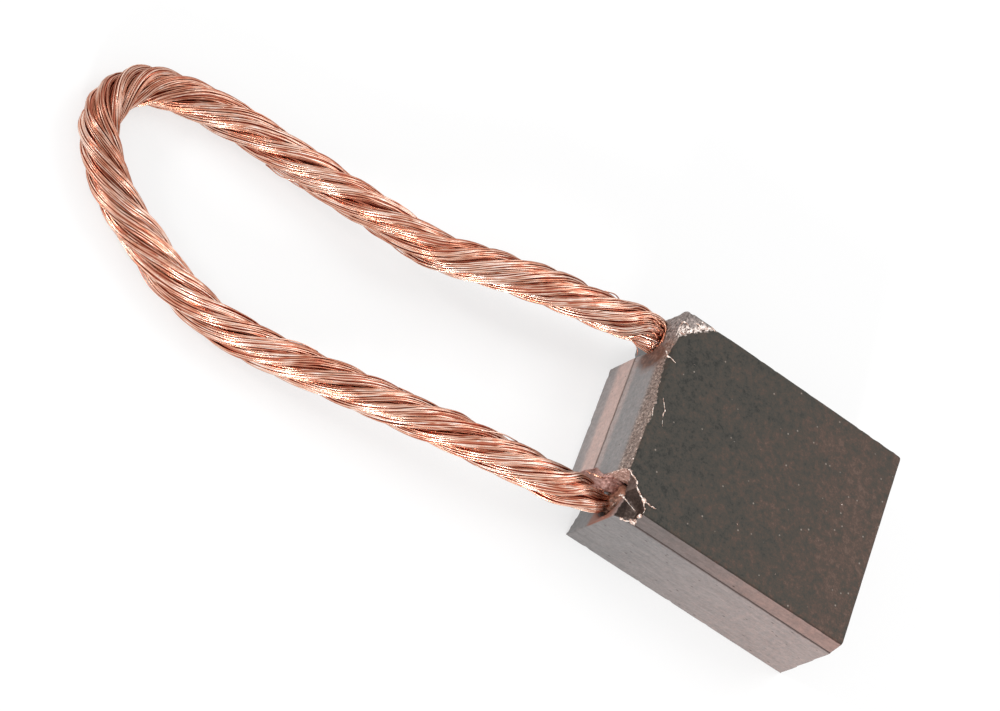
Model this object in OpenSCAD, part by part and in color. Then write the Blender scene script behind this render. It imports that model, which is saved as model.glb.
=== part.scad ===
// Carbon brush for a heavy starter motor: a pressed copper-graphite block and its looped copper flexible.
// The block lies on its back face. +X points from the flexible end to the wear face, and +Z is up.

/* [Block] */
// Length along X at the back face, from the flexible end to the wear face
block_l = 24.6; // [22:0.1:36]
// Width along Y
block_w = 19; // [15:0.1:30]
// Thickness along Z, from the back face to the dark top face
block_t = 8.8; // [7.3:0.1:14]
// How far the flexible end leans in, from its parting line to the top face
end_lean = 0.5; // [0:0.05:1]
// Height of the parting line on the flexible end
end_parting_z = 3.7; // [1:0.1:5]
// How far the wear face leans in, from the back to the top face
wear_lean = 0.55; // [0:0.05:1]

/* [Long edges] */
// Height of the long bevel on the -Y side, from its parting line up to the top face
side_bevel_h = 1.5; // [0.6:0.1:2]
// Width that the long bevel takes off the top face
side_bevel_w = 0.5; // [0.2:0.05:1]
// Edge break along the +Y edge of the top face
edge_break = 0.2; // [0.05:0.05:0.5]
// Width of the fine groove that the die leaves along a parting line
groove_w = 0.16; // [0.06:0.02:0.3]

/* [Flexible] */
// Diameter of the stranded copper flexible
flex_d = 3.2; // [2:0.1:3.9]
// Height of the flexible's centre where it enters the block
flex_z = 5; // [4:0.1:5.2]
// Radial clearance between the flexible and its seat
seat_clearance = 0.02; // [0.01:0.01:0.1]
// Length of the flexible that is pressed into the block, past the notch floor
seat_depth = 8; // [4:0.5:9]
// Angle at which each seat turns in towards the middle of the block
seat_angle = 18; // [0:1:25]
// Wall left between the flexible and the side of the block, at the notch floor
seat_wall = 0.8; // [0.5:0.1:1.5]

/* [Corner notches] */
// Depth of a corner notch along X, at its inner wall
notch_l = 2.1; // [1.5:0.1:3]
// Depth of a corner notch along X, at the side of the block
notch_side_l = 1.45; // [1:0.05:1.5]
// Width of a corner notch along Y
notch_w = 3.4; // [3:0.1:4.5]
// Height of a corner notch's roof above the centre of the flexible
notch_rise = 0.8; // [0.2:0.1:1.2]
// Edge break down the outer corner of the sound roof
roof_corner = 0.6; // [0.1:0.1:1]

/* [Broken corner] */
// Depth of the broken ledge below the top face, at the deepest part of the notch
ledge_drop = 1.75; // [1:0.05:1.8]
// Slope of the broken ledge along X
ledge_angle = 32; // [0:1:40]
// Length along X of the hollow that the break leaves under the top face
hollow_l = 1.6; // [1:0.1:2]
// Angle at which the hollow cuts in under the top face
hollow_angle = 19; // [0:1:30]

/* [Hidden] */

// Facets of the two round seats
seat_facets = 64;
// Overlap that takes a cutting shape clean through a face
clear = 1;
seat_r = flex_d / 2 + seat_clearance;
notch_h = flex_z + notch_rise;
ledge_z = block_t - ledge_drop;
side_parting_z = block_t - side_bevel_h;
// Where the centre of the flexible crosses the notch floor on the -Y side, and its direction inwards
seat_mouth = [notch_l, -block_w / 2 + flex_d / 2 + seat_wall, flex_z];
seat_way = [cos(seat_angle), sin(seat_angle), 0];
// Distance along the seat from the notch floor out to where the flexible starts to bend
seat_lead = (notch_l + 1) / cos(seat_angle);

// Edge of the break on the top face, from the flexible end round to the long side. X is measured
// from the flexible end and Y from the side of the block.
break_edge = [[0, 3.4], [1.5, 2.65], [1.65, 2.2], [2.55, 1.55], [3, 0.9], [2.95, 0]];

// Sides of the flexible's plain tube
tube_sides = 8;
// Route of the free loop, from the broken corner round to the sound one. X is measured from the
// flexible end, Y from the middle of the block and Z from the back face.
loop_route = [
    [-3, -8.8, 5], [-5.5, -9.1, 5], [-9, -9.4, 4.8], [-13, -9.8, 4.5], [-17, -10.3, 4],
    [-21, -10.7, 3.5], [-25, -11.1, 2.9], [-29, -11.5, 2.4], [-33, -11.5, 2], [-37, -10.7, 1.8],
    [-40.5, -9.1, 1.7], [-43.8, -7.4, 1.7], [-46.6, -4.9, 1.7], [-48.2, -2.1, 1.7],
    [-47.9, 0.6, 1.7], [-46.3, 2.7, 1.7], [-43.3, 3.9, 1.7], [-39.4, 4.4, 1.9],
    [-35.5, 4.3, 2.2], [-31.6, 4.2, 2.5], [-27.8, 4, 2.9], [-24, 3.9, 3.4], [-20.2, 3.6, 4],
    [-16.4, 4.4, 4.5], [-12.6, 5.4, 4.9], [-9, 6.3, 5], [-6, 6.9, 5], [-3.4, 7.4, 5]
];

// A shape drawn in the XZ plane and run across the whole width
module across_width() {
    rotate([90, 0, 0]) linear_extrude(block_w + 2 * clear, center = true) children();
}

// A shape drawn in the YZ plane and run along the whole length
module along_length() {
    translate([-clear, 0, 0]) rotate([90, 0, 90]) linear_extrude(block_l + 2 * clear) children();
}

// The pressed block before its corners are cut: both ends lean in towards the top face
module blank() {
    rotate([90, 0, 0]) linear_extrude(block_w, center = true)
        polygon([
            [0, 0], [block_l, 0], [block_l - wear_lean, block_t],
            [end_lean, block_t], [0, end_parting_z]
        ]);
}

// Long bevel on the -Y side, from the parting line up to the top face
module long_bevel() {
    past = side_bevel_w * clear / side_bevel_h;
    along_length() polygon([
        [-block_w / 2 - clear, side_parting_z], [-block_w / 2, side_parting_z],
        [-block_w / 2 + side_bevel_w + past, block_t + clear], [-block_w / 2 - clear, block_t + clear]
    ]);
}

// Small break along the +Y edge of the top face
module top_edge_break() {
    along_length() translate([block_w / 2, block_t]) rotate(45)
        square(edge_break * sqrt(2), center = true);
}

// Fine V grooves along the parting lines of the flexible end and of the -Y side
module parting_grooves() {
    v = groove_w / sqrt(2);
    across_width() translate([0, end_parting_z]) rotate(45) square(v, center = true);
    along_length() translate([-block_w / 2, side_parting_z]) rotate(45) square(v, center = true);
}

// Round seat of the flexible on the -Y side, from its blind end out through the notch
module seat() {
    translate(seat_mouth + seat_depth * seat_way) rotate([0, -90, seat_angle])
        cylinder(r = seat_r, h = seat_depth + seat_lead + clear, $fn = seat_facets);
}

// Notch that leaves the corner open to the back, the end and the side, up to a roof
module corner_notch(roof_z) {
    past = (notch_l - notch_side_l) * clear / notch_w;
    translate([0, -block_w / 2, -clear]) linear_extrude(roof_z + clear)
        polygon([
            [-clear, -clear], [notch_side_l - past, -clear], [notch_l, notch_w], [-clear, notch_w]
        ]);
}

// Notch and seat of one corner, on the -Y side
module flexible_entry(roof_z) {
    corner_notch(roof_z);
    seat();
}

// Break down the outer corner of the sound roof, on the +Y side
module roof_corner_break() {
    translate([0, block_w / 2, -clear]) rotate(45)
        translate([-roof_corner, -roof_corner, 0] / sqrt(2))
            cube([roof_corner * sqrt(2), roof_corner * sqrt(2), block_t + 2 * clear]);
}

// What broke off above the ledge on the -Y side, straight down from its edge on the top face
module broken_roof() {
    reach = break_edge[4].x + 2 * clear;
    intersection() {
        translate([0, -block_w / 2, 0]) linear_extrude(block_t + clear)
            polygon(concat(
                [[break_edge[5].x, -clear], [-clear, -clear], [-clear, break_edge[0].y]], break_edge
            ));
        translate([notch_l, -block_w / 2 - clear, ledge_z]) rotate([0, -ledge_angle, 0])
            translate([-2 * reach, 0, 0]) cube([3 * reach, notch_w + 2 * clear, block_t]);
    }
}

// Hollow between the notch and the first stretch of the break's edge, cut in under the top face
module broken_hollow() {
    stretch = break_edge[1] - break_edge[0];
    reach = hollow_l + notch_w + 2 * clear;
    near_y = break_edge[3].y;
    intersection() {
        translate([-clear, near_y - block_w / 2, notch_h])
            cube([hollow_l + clear, notch_w - near_y, block_t - notch_h + clear]);
        translate([0, break_edge[0].y - block_w / 2, block_t])
            rotate([0, 0, atan(stretch.y / stretch.x)]) rotate([hollow_angle, 0, 0])
                translate([-reach, -reach, -block_t]) cube([2 * reach, reach, block_t + clear]);
    }
}

// Pressed copper-graphite block
module carbon_block() {
    color([0.33, 0.3, 0.29]) translate([-block_l / 2, 0, 0]) difference() {
        blank();
        long_bevel();
        top_edge_break();
        parting_grooves();
        flexible_entry(ledge_z);
        mirror([0, 1, 0]) flexible_entry(notch_h);
        roof_corner_break();
        broken_roof();
        broken_hollow();
    }
}

// Points of the flexible's centre line, from one blind seat round the loop to the other
function flipped(p) = [p[0], -p[1], p[2]];
seat_points = [
    seat_mouth + seat_depth * seat_way, seat_mouth, seat_mouth - seat_lead * seat_way
];
centre_line = concat(
    seat_points, loop_route,
    [flipped(seat_points[2]), flipped(seat_points[1]), flipped(seat_points[0])]
);

// Direction of the centre line at point i: along the seat at either end, else between its neighbours
function unit(v) = v / norm(v);
function way_at(i, last) = unit(centre_line[min(i + 1, last)] - centre_line[max(i - 1, 0)]);

// One ring of the tube round a point, square to the way
function ring(p, way) =
    let (across = unit(cross([0, 0, 1], way)), up = cross(way, across))
    [
        for (k = [0:tube_sides - 1])
            let (a = (k + 0.5) * 360 / tube_sides)
            p + flex_d / 2 * (cos(a) * across + sin(a) * up)
    ];

// Stranded copper flexible, as one plain tube with both ends pressed into the block
module flexible() {
    last = len(centre_line) - 1;
    points = [for (i = [0:last]) each ring(centre_line[i], way_at(i, last))];
    walls = [
        for (i = [0:last - 1], k = [0:tube_sides - 1])
            let (a = i * tube_sides + k, b = i * tube_sides + (k + 1) % tube_sides)
            [a, a + tube_sides, b + tube_sides, b]
    ];
    near_end = [for (k = [0:tube_sides - 1]) k];
    far_end = [for (k = [tube_sides - 1:-1:0]) last * tube_sides + k];
    color([0.78, 0.48, 0.36]) translate([-block_l / 2, 0, 0])
        polyhedron(points, concat(walls, [near_end, far_end]), convexity = 10);
}

carbon_block();
flexible();
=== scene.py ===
import math

import bpy
import numpy as np
from mathutils import Matrix, Vector, noise


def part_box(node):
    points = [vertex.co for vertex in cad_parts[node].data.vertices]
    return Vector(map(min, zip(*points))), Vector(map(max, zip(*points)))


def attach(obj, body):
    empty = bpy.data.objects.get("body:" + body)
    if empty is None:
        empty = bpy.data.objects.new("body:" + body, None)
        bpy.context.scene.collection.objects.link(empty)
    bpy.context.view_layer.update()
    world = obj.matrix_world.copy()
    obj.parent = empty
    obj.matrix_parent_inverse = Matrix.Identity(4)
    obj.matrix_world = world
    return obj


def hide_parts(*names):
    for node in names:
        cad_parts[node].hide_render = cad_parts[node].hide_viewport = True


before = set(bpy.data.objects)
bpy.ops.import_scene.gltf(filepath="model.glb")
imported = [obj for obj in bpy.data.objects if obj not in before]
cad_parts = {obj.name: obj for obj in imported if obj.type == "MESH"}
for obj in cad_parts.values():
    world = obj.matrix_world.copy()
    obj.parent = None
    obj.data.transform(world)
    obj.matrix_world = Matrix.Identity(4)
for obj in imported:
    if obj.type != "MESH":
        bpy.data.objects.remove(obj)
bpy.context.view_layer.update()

MM = 0.001
BLOCK_LOW, BLOCK_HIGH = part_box("carbon_block")
END_X = BLOCK_LOW.x
SIDE_Y = BLOCK_HIGH.y
TOP_Z = BLOCK_HIGH.z
# Places on the block are counted from this corner: the flexible end, the -Y side and the back.
CORNER = [END_X, -SIDE_Y, BLOCK_LOW.z]
# The block's size in millimetres.
LONG = (BLOCK_HIGH.x - END_X) / MM
WIDE = 2 * SIDE_Y / MM
THICK = (TOP_Z - BLOCK_LOW.z) / MM


# ---------------- camera

# The camera looks down on the brush over its broken corner, turned so that the loop runs up and away.
CAMERA_AIM = Vector((-22.0, 1.2, 0.0)) * MM
CAMERA_PLACE = Vector((-105.0, -118.5, 195.1)) * MM
CAMERA_UP = Vector((-0.521, 0.808, 0.274))
CAMERA_LENS = 108


def make_camera():
    data = bpy.data.cameras.new("camera")
    data.lens = CAMERA_LENS
    data.sensor_width = 36
    data.clip_start = 0.01
    data.clip_end = 10
    camera = bpy.data.objects.new("camera", data)
    bpy.context.scene.collection.objects.link(camera)
    back = (CAMERA_PLACE - CAMERA_AIM).normalized()
    right = CAMERA_UP.cross(back).normalized()
    up = back.cross(right)
    turn = Matrix((right, up, back)).transposed()
    camera.matrix_world = Matrix.LocRotScale(CAMERA_PLACE, turn, None)
    bpy.context.scene.camera = camera


make_camera()


# ---------------- route of the flexible

FLEX_D = 3.2 * MM
SEAT_DEPTH = 8 * MM
SEAT_ANGLE = math.radians(18)
NOTCH_L = 2.1 * MM
SEAT_INSET = 2.4 * MM
FLEX_Z = 5 * MM
LEAD = 1 * MM  # straight lead of the rope out of each notch
ROUTE_STEP = 0.35 * MM
SPAN_SAMPLES = 40  # points worked out between each two points of a route, before it is sampled evenly

# Points of the free loop in metres: X from the flexible end of the block, Y from its middle, Z from its back.
LOOP_ROUTE = [
    (-0.003, -0.0088, 0.005),
    (-0.0055, -0.0091, 0.005),
    (-0.009, -0.0094, 0.0048),
    (-0.013, -0.0098, 0.0045),
    (-0.017, -0.0103, 0.004),
    (-0.021, -0.0107, 0.0035),
    (-0.025, -0.0111, 0.0029),
    (-0.029, -0.0115, 0.0024),
    (-0.033, -0.0115, 0.002),
    (-0.037, -0.0107, 0.0018),
    (-0.0405, -0.0091, 0.0017),
    (-0.0438, -0.0074, 0.0017),
    (-0.0466, -0.0049, 0.0017),
    (-0.0482, -0.0021, 0.0017),
    (-0.0479, 0.0006, 0.0017),
    (-0.0463, 0.0027, 0.0017),
    (-0.0433, 0.0039, 0.0017),
    (-0.0394, 0.0044, 0.0019),
    (-0.0355, 0.0043, 0.0022),
    (-0.0316, 0.0042, 0.0025),
    (-0.0278, 0.004, 0.0029),
    (-0.024, 0.0039, 0.0034),
    (-0.0202, 0.0036, 0.004),
    (-0.0164, 0.0044, 0.0045),
    (-0.0126, 0.0054, 0.0049),
    (-0.009, 0.0063, 0.005),
    (-0.006, 0.0069, 0.005),
    (-0.0034, 0.0074, 0.005),
]


def seat_points(side):
    """Blind end, notch floor and lead of the seat on one side of the block: -1 or 1 along Y."""
    mouth = np.array([NOTCH_L, side * (SIDE_Y - SEAT_INSET), FLEX_Z])
    inward = np.array([math.cos(SEAT_ANGLE), -side * math.sin(SEAT_ANGLE), 0])
    lead = (NOTCH_L + LEAD) / math.cos(SEAT_ANGLE)
    return [mouth + SEAT_DEPTH * inward, mouth, mouth - lead * inward]


def unit(v):
    return v / np.linalg.norm(v, axis=-1, keepdims=True)


def along(line):
    """Distance run at each point of a line."""
    return np.concatenate([[0], np.cumsum(np.linalg.norm(np.diff(line, axis=0), axis=1))])


def resample(line, run, at):
    """The places on a line at new distances along it."""
    return np.stack([np.interp(at, run, line[:, k]) for k in range(3)], axis=1)


def smooth_line(points, step):
    """A centripetal Catmull-Rom curve through the points, sampled again at an even step."""
    points = np.array(points)
    points = np.vstack([2 * points[0] - points[1], points, 2 * points[-1] - points[-2]])
    samples = []
    for a, b, c, d in zip(points, points[1:], points[2:], points[3:]):
        ta = 0.0
        tb = ta + math.sqrt(np.linalg.norm(b - a))
        tc = tb + math.sqrt(np.linalg.norm(c - b))
        td = tc + math.sqrt(np.linalg.norm(d - c))
        for t in np.linspace(tb, tc, SPAN_SAMPLES, endpoint=False):
            ab = a + (b - a) * (t - ta) / (tb - ta)
            bc = b + (c - b) * (t - tb) / (tc - tb)
            cd = c + (d - c) * (t - tc) / (td - tc)
            abc = ab + (bc - ab) * (t - ta) / (tc - ta)
            bcd = bc + (cd - bc) * (t - tb) / (td - tb)
            samples.append(abc + (bcd - abc) * (t - tb) / (tc - tb))
    samples.append(points[-2])
    samples = np.array(samples)
    run = along(samples)
    even = np.linspace(0, run[-1], int(run[-1] / step) + 1)
    return resample(samples, run, even)


def frames_of(line):
    """Direction, side and up at each point of a line, with no twist of their own."""
    way = unit(np.gradient(line, axis=0))
    side = np.zeros_like(way)
    side[0] = unit(np.cross([0, 0, 1], way[0]))
    for i in range(1, len(line)):
        side[i] = unit(side[i - 1] - way[i] * np.dot(side[i - 1], way[i]))
    return way, side, np.cross(way, side)


ROUTE_POINTS = [*seat_points(-1), *LOOP_ROUTE, *reversed(seat_points(1))]
ROUTE = [Vector(p) + Vector((END_X, 0, 0)) for p in ROUTE_POINTS]
centre_line = smooth_line(ROUTE, ROUTE_STEP)
rope_run = along(centre_line)
ROPE_LENGTH = rope_run[-1]
BEND_AT = rope_run[np.argmin(centre_line[:, 0])]
_, rope_side, rope_up = frames_of(centre_line)


# ---------------- flexible

STRANDS = 6
WIRES = 19
WIRE_SIDES = 5
CORE_SIDES = 8
HEART_SIDES = 12
WIRE_R = 0.075 * MM
STRAND_R = 0.52 * MM
HEART_R = 0.62 * MM
LAY_ON_LEGS = 19 * MM
LAY_AT_BEND = 13.5 * MM
BEND_REACH = 8 * MM
WIRE_LAY = 34 * MM
rng = np.random.default_rng(7)

# How uneven the rope is: the size of each wander, and how many steps it takes from end to end of the rope.
STRAND_TURN = (0.08, 24)
STRAND_REACH = (0.03 * MM, 30)
STRAND_SWELL = (0.04, 26)
WIRE_TURN_SLOW = (0.1, 36)
WIRE_TURN_QUICK = (0.035, 110)
WIRE_REACH_SLOW = (0.024 * MM, 50)
WIRE_REACH_QUICK = (0.01 * MM, 120)
WIRE_TONE = (0.65, 260)
# How far wires of a strand differ from each other: in how far out they lie, and in thickness.
WIRE_OFFSET = 0.012 * MM
WIRE_THICKNESS = (0.85, 1.12)

# Shade of what lies deep in the rope, and how low it counts against the crest of a wire, which is 1: painted
# shade that darkens the gaps between wires and strands.
CORE_TONE, CORE_SHADING = 0.3, -0.7
HEART_TONE, HEART_SHADING = 0.2, -1
# painted shade: wires on the inner side of a strand are drawn darker, as if sunk in the gaps between strands
VALLEY_SHADE = 0.7  # how far a wire on the inner side of its strand counts as sunk
LOOSE_TONE = 0.9

# Painted shade: the copper is drawn dull brown on top of the bend, and on the side of the rope that faces
# this way, for the darker reflections there.
BEND_SHADE_REACH = 13 * MM
SHADED_SIDE = np.array([-0.5, 0.78, 0.36])

# The rope is pinched where it enters the block: how slim it is, and how far its middle shifts one way, at
# millimetres out from the mouth of its seat, at the broken corner and at the whole one.
BROKEN_SLIM = ((0, 0.6, 1.3, 2.0, 3.0, 4.2), (0.3, 0.34, 0.52, 0.66, 0.86, 1))
BROKEN_SHIFT = ((0, 1.3, 2.0, 3.0, 4.2), (0.35, 0.5, 0.5, 0.2, 0))
BROKEN_SHIFT_WAY = (0.52, -0.81, -0.27)
WHOLE_SLIM = ((0, 1.0, 2.5), (0.8, 0.86, 1))
WHOLE_SHIFT = ((0, 1.0, 2.5), (0.2, 0.2, 0))
WHOLE_SHIFT_WAY = (-0.1, 0.75, 0.3)
SLIM_WIRES = 0.6  # power by which wires thin with the pinch

# Painted light: the wires are drawn lighter by the rope's two entries, for the glints there: shade added at
# millimetres from its ends.
BROKEN_LIGHTENED = ((0, 12, 20), (0.2, 0.1, 0))
WHOLE_LIGHTENED = ((0, 9, 14, 22), (0.35, 0.35, 0.2, 0))

# Wires sprung loose from their strands: how thick they are, how far they sink in at their ends, and the gap
# that they keep from the floor.
LOOSE_WIRE_R = 0.055 * MM
LOOSE_WIRE_SINK = 0.06 * MM
FLOOR_GAP = 0.02 * MM

# Loose wires: distance along the rope, turn round it, length and lift, in millimetres and degrees.
LOOSE_WIRES = [
    (78, 250, 4, 0.2),
    (81, 232, 3, 0.25),
    (83, 262, 4, 0.15),
    (66, 165, 5, 0.12),
    (49, 95, 5, 0.12),
    (38, 60, 5, 0.1),
    (27, 285, 4, 0.15),
    (20, 110, 4, 0.12),
    (93, 85, 5, 0.12),
    (107, 70, 4, 0.18),
    (111, 200, 3, 0.25),
    (110, 250, 4, 0.2),
    (108, 280, 3, 0.2),
]


def step_up(value, low, high):
    """0 below low, 1 above high, and smooth between them."""
    part = np.clip((value - low) / (high - low), 0, 1)
    return part * part * (3 - 2 * part)


def wander(count, size, steps):
    """A slow seeded wander along a line: values at a few steps, joined smoothly."""
    knots = rng.normal(0, size, steps)
    at = np.linspace(0, steps - 1, count)
    low = np.clip(at.astype(int), 0, steps - 2)
    part = step_up(at - low, 0, 1)
    return knots[low] * (1 - part) + knots[low + 1] * part


def lay_phase():
    """Turn of the strands round the rope at each point: a left-hand lay that is closer at the bend."""
    near = np.exp(-(((rope_run - BEND_AT) / BEND_REACH) ** 2))
    turns = (1 - near) / LAY_ON_LEGS + near / LAY_AT_BEND
    return -2 * math.pi * np.concatenate([[0], np.cumsum(turns[1:] * np.diff(rope_run))])


def entry_squeeze():
    """How slim the rope is at each point, and how far the pinch at its entries moves its middle."""
    from_broken = rope_run / MM - SEAT_DEPTH / MM
    from_whole = (ROPE_LENGTH - rope_run) / MM - SEAT_DEPTH / MM
    slim = np.minimum(np.interp(from_broken, *BROKEN_SLIM), np.interp(from_whole, *WHOLE_SLIM))
    shift = np.interp(from_broken, *BROKEN_SHIFT)[:, None] * BROKEN_SHIFT_WAY
    shift = shift + np.interp(from_whole, *WHOLE_SHIFT)[:, None] * WHOLE_SHIFT_WAY
    return slim, shift * MM


slim_at, shift_at = entry_squeeze()
pinched_line = centre_line + shift_at
entry_light = np.interp(ROPE_LENGTH / MM - rope_run / MM, *WHOLE_LIGHTENED)
entry_light += np.interp(rope_run / MM, *BROKEN_LIGHTENED)


def tubes(lines, radii, sides, ups):
    """Vertices and faces of plain tubes with closed ends, one per line."""
    verts, faces = [], []
    start = 0
    turn = (np.arange(sides) * 2 * math.pi / sides)[None, :, None]
    for line, radius, up in zip(lines, radii, ups):
        way = unit(np.gradient(line, axis=0))
        across = unit(np.cross(way, up))
        over = np.cross(across, way)
        ring = np.cos(turn) * across[:, None, :] + np.sin(turn) * over[:, None, :]
        points = line[:, None, :] + ring * np.reshape(radius, (-1, 1, 1))
        count = len(line)
        verts.append(points.reshape(-1, 3))
        i = np.arange(count - 1)[:, None] * sides + start
        k = np.arange(sides)[None, :]
        k2 = (k + 1) % sides
        quads = np.stack([i + k, i + sides + k, i + sides + k2, i + k2], axis=-1)
        faces += quads.reshape(-1, 4).tolist()
        faces.append((start + np.arange(sides)).tolist())
        faces.append((start + (count - 1) * sides + np.arange(sides)[::-1]).tolist())
        start += count * sides
    return np.vstack(verts), faces


def add_fields(mesh, fields):
    """Named values at the vertices of a mesh, for its material to read."""
    for name, values in fields.items():
        layer = mesh.attributes.new(name, "FLOAT", "POINT")
        layer.data.foreach_set("value", np.asarray(values, np.float32))


def mesh_piece(name, verts, faces, fields):
    """A smooth mesh piece of the object."""
    mesh = bpy.data.meshes.new(name)
    mesh.from_pydata(verts.tolist(), [], faces)
    add_fields(mesh, fields)
    mesh.update()
    piece = bpy.data.objects.new(name, mesh)
    bpy.context.scene.collection.objects.link(piece)
    mesh.shade_smooth()
    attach(piece, "root")
    return piece


def ring_heights(sides, count):
    """How far each vertex of a tube stands out: 1 at its crest and -1 at its foot."""
    return np.tile(np.sin(np.arange(sides) * 2 * math.pi / sides), count)


def painted_dull_shade(verts, rows, sides):
    """How far the copper is drawn dull brown at each vertex of tubes that follow the rope: painted shade on
    top of the bend and on one side.
    """
    centre = np.repeat(pinched_line, sides, axis=0)
    run = np.repeat(rope_run, sides)
    near = np.exp(-(((run - BEND_AT) / BEND_SHADE_REACH) ** 2))
    off = (verts - np.tile(centre, (rows, 1))) / (FLEX_D / 2)
    bend_shade = np.tile(near, rows) * np.clip(off[:, 2] + 0.35, 0, 1)
    side_shade = 1.1 * step_up(off @ SHADED_SIDE, 0.35, 0.95)
    return np.maximum(bend_shade, side_shade)


def strand(index, phase):
    """One strand: a core and the fine wires laid round it, none of them quite even."""
    count = len(centre_line)
    angle = phase + index * 2 * math.pi / STRANDS + wander(count, *STRAND_TURN)
    out = np.cos(angle)[:, None] * rope_side + np.sin(angle)[:, None] * rope_up
    reach = (FLEX_D / 2 - STRAND_R + wander(count, *STRAND_REACH)) * slim_at
    centre = pinched_line + out * reach[:, None]
    way = unit(np.gradient(centre, axis=0))
    round_it = unit(np.cross(way, out))
    out = np.cross(round_it, way)
    swell = 1 + wander(count, *STRAND_SWELL)
    core_r = (STRAND_R - 1.5 * WIRE_R) * slim_at
    core_verts, core_faces = tubes([centre], [core_r], CORE_SIDES, [out])
    lines, radii, ups, tones, crest_shadings = [], [], [], [], []
    for w in range(WIRES):
        spin = w * 2 * math.pi / WIRES + rope_run / WIRE_LAY * 2 * math.pi
        spin += wander(count, *WIRE_TURN_SLOW) + wander(count, *WIRE_TURN_QUICK)
        reach = (STRAND_R - WIRE_R) * swell + rng.normal(0, WIRE_OFFSET)
        reach += wander(count, *WIRE_REACH_SLOW) + wander(count, *WIRE_REACH_QUICK)
        direction = np.cos(spin)[:, None] * out + np.sin(spin)[:, None] * round_it
        lines.append(centre + direction * (reach * slim_at)[:, None])
        radii.append(WIRE_R * rng.uniform(*WIRE_THICKNESS) * slim_at**SLIM_WIRES)
        ups.append(direction)
        tones.append(np.repeat(rng.random() + wander(count, *WIRE_TONE) + entry_light, WIRE_SIDES))
        valley_shade = VALLEY_SHADE * np.clip(0.3 - np.cos(spin), 0, 1)
        crest_shadings.append(ring_heights(WIRE_SIDES, count) - np.repeat(valley_shade, WIRE_SIDES))
    verts, faces = tubes(lines, radii, WIRE_SIDES, ups)
    faces = core_faces + [[i + len(core_verts) for i in f] for f in faces]
    in_core = len(core_verts)
    fields = {
        "tone": np.concatenate([np.full(in_core, CORE_TONE), *tones]),
        "crest_shading": np.concatenate([np.full(in_core, CORE_SHADING), *crest_shadings]),
        "dull_shade": np.concatenate([np.zeros(in_core), painted_dull_shade(verts, WIRES, WIRE_SIDES)]),
    }
    return mesh_piece(f"rope_strand_{index + 1}", np.vstack([core_verts, verts]), faces, fields)


def loose_wires(phase):
    """Single wires that have sprung out of their strands in shallow bows."""
    lines, ups = [], []
    for start, turn, length, lift in LOOSE_WIRES:
        near = np.abs(rope_run - start * MM) < length / 2 * MM
        run = (rope_run[near] - start * MM) / (length * MM)
        bow = np.cos(run * math.pi) ** 2 * lift * MM
        angle = phase[near] * 0.9 + math.radians(turn) + 0.25 * run
        out = np.cos(angle)[:, None] * rope_side[near] + np.sin(angle)[:, None] * rope_up[near]
        reach = (FLEX_D / 2 - LOOSE_WIRE_SINK) * slim_at[near] + bow
        lines.append(pinched_line[near] + out * reach[:, None])
        ups.append(out)
    radii = [np.full(len(line), LOOSE_WIRE_R) for line in lines]
    verts, faces = tubes(lines, radii, WIRE_SIDES, ups)
    verts[:, 2] = np.maximum(verts[:, 2], FLOOR_GAP)
    fields = {
        "tone": np.full(len(verts), LOOSE_TONE),
        "crest_shading": ring_heights(WIRE_SIDES, len(verts) // WIRE_SIDES),
        "dull_shade": np.zeros(len(verts)),
    }
    return mesh_piece("rope_loose_wires", verts, faces, fields)


def rope_heart():
    """The middle of the rope, which closes the gaps between its strands."""
    verts, faces = tubes([pinched_line], [HEART_R * slim_at], HEART_SIDES, [rope_up])
    count = len(verts)
    # the heart is drawn at the darkest shade, as painted shade in the gaps between the strands
    fields = {
        "tone": np.full(count, HEART_TONE),
        "crest_shading": np.full(count, HEART_SHADING),
        "dull_shade": np.zeros(count),
    }
    return mesh_piece("rope_heart", verts, faces, fields)


def make_flexible():
    phase = lay_phase()
    strands = [strand(k, phase) for k in range(STRANDS)]
    rest = [rope_heart(), loose_wires(phase)]
    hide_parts("flexible")
    return [*strands, *rest]


# ---------------- pressed block

# Grid on which the block's skin is worked, fine enough for chips and grains at its edges.
GRID = 0.15 * MM
END_LEAN = 0.5
END_PARTING = 3.7

# Edge of the dark skin on the top face, as distance from the flexible end at places across the block.
SKIN_EDGE = (
    (3.0, 7.2, 8.2, 8.9, 9.7, 10.5, 12.0, 15.0, 16.0, 16.8, 17.6),
    (0.4, 0.42, 0.66, 0.75, 0.62, 0.45, 0.2, 0.0, 0.3, 1.2, 1.95),
)
# Lower edge of the skin where it laps over the end, as height at places across the block.
LAP_EDGE = ((10.2, 11.0, 12.0, 14.2, 15.2, 15.8), (8.9, 8.55, 8.35, 8.15, 8.3, 8.9))
# Edge of the corner where the skin has flaked off, as places across the block at distances from its end.
FLAKE_EDGE = ((0.0, 1.3, 2.3, 3.9, 4.6), (16.4, 17.0, 17.8, 19.0, 20.0))
NO_SKIN = -2.0  # far outside the edge
# Heights over which the granular band under the top of the end sets in.
BAND_FOOT = (6.8, 7.4)
# Places across the block and heights over which the end's flaked corner sets in, and how far back it goes.
FLAKED_ACROSS = (15.8, 16.6)
FLAKED_UP = (5.8, 6.6)
FLAKED_BACK = 1.2
# Grains along the flaked edge are bright, partly as a painted glint along the edge, from this place across
# the block, at these distances from its end.
BRIGHT_FROM = 16
BRIGHT_ALONG = (0.1, 4.0)
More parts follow.
